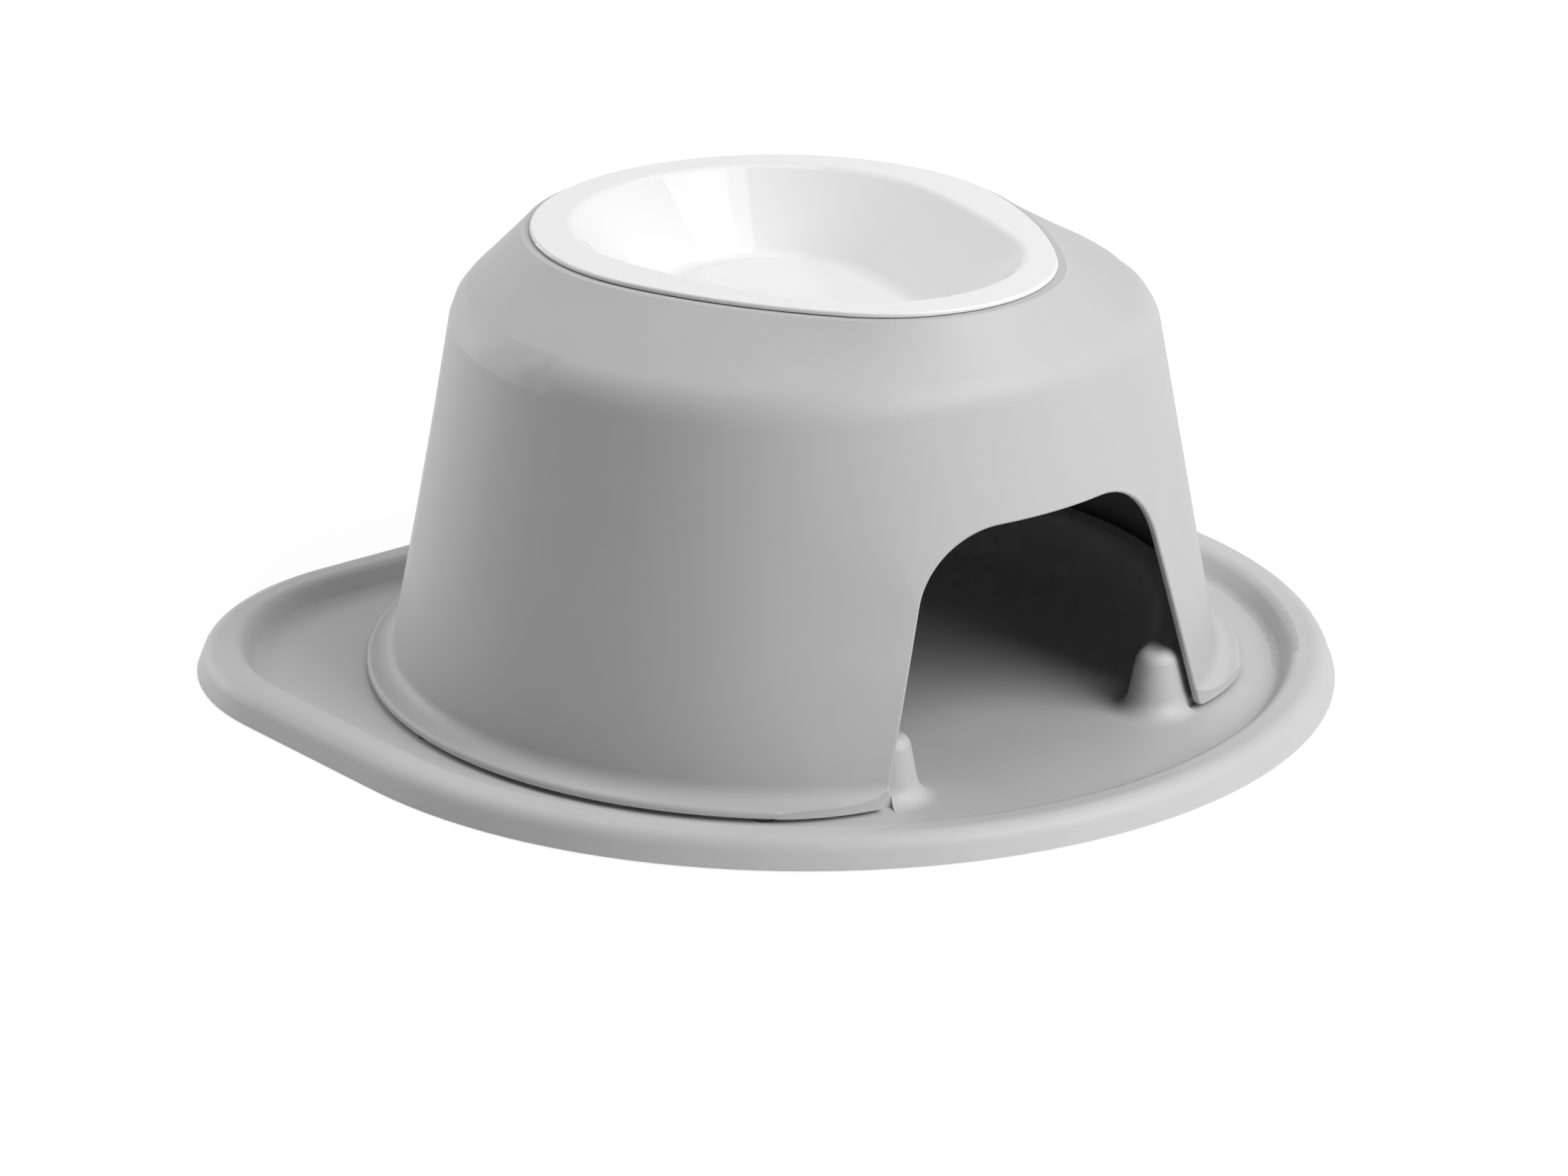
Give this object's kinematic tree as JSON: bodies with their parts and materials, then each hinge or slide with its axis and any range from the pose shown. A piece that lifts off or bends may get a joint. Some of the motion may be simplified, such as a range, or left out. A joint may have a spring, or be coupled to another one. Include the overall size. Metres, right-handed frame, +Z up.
{
  "type": "elevated pet bowl",
  "caption": "Elevated feeder: a shallow egg-shaped dish rests in a flanged, tapered stand with an arch, on a tray with a raised rim that catches spills.",
  "frame": {"origin": "on the table, under the middle of the tray", "axes": "+Z up, -Y to the front with the arch, X across, symmetric about the plane X = 0"},
  "size_m": [0.3324, 0.3174, 0.1407],
  "materials": {
    "tray_plastic": "light grey moulded plastic with a fine matt grain",
    "tray_feet_rubber": "dark grey soft rubber",
    "stand_plastic": "light grey moulded plastic with a fine matt grain",
    "stand_feet_rubber": "dark grey soft rubber",
    "seat_ring_rubber": "dark grey soft rubber",
    "bowl_gloss": "glossy white moulded plastic"
  },
  "bodies": {
    "tray": {"tray": "tray_plastic", "tray_feet": "tray_feet_rubber"},
    "stand": {"stand": "stand_plastic", "stand_feet": "stand_feet_rubber", "seat_ring": "seat_ring_rubber"},
    "bowl": {"bowl": "bowl_gloss"}
  },
  "joints": [
    {"name": "stand_lift", "type": "slide", "parent": "tray", "child": "stand", "axis": [0, 0, 1], "range_m": [0, 0.04]},
    {"name": "bowl_lift", "type": "slide", "parent": "stand", "child": "bowl", "axis": [0, 0, 1], "range_m": [0, 0.04]}
  ]
}
